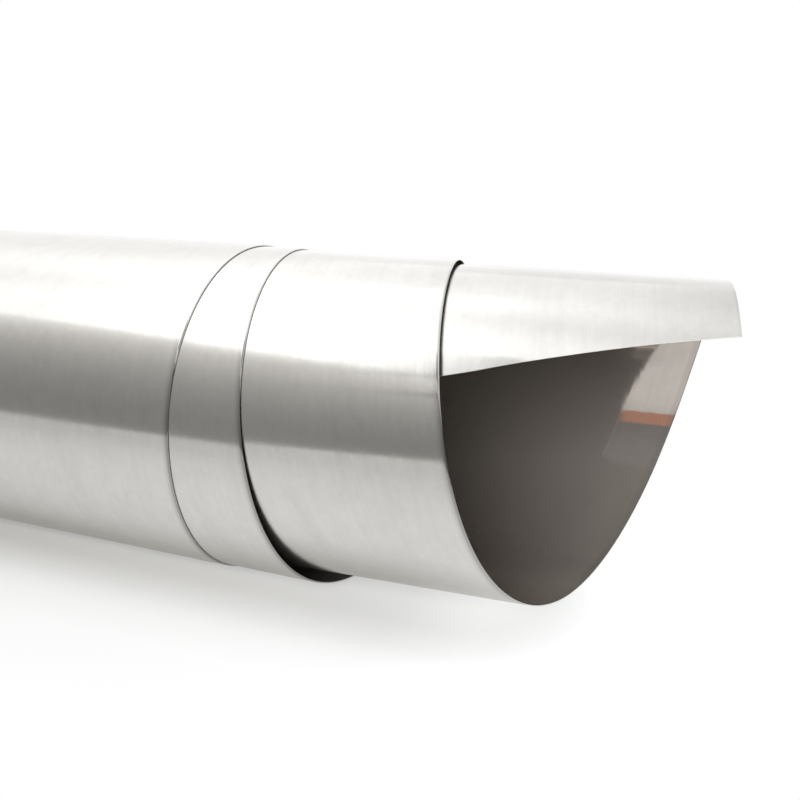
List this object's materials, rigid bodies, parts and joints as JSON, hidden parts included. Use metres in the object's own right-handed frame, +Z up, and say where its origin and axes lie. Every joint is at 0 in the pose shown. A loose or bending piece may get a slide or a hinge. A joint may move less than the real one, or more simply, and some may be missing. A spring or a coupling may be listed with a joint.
{
  "type": "roll of titanium foil",
  "caption": "Strip of thin bare metal foil, wound loosely on the skew into an open tube whose turns step out along the axis to a free, sheared inner end.",
  "frame": {"origin": "bottom centre of the bounding box, on the surface the roll lies on", "axes": "+X along the winding axis towards the open mouth that the turns step out to, +Y to the back, +Z up"},
  "size_m": [0.535, 0.1602, 0.1599],
  "materials": {
    "foil": "cold-rolled, bare, satin to half-bright"
  },
  "bodies": {
    "root": {"foil_strip": "foil"}
  },
  "joints": []
}
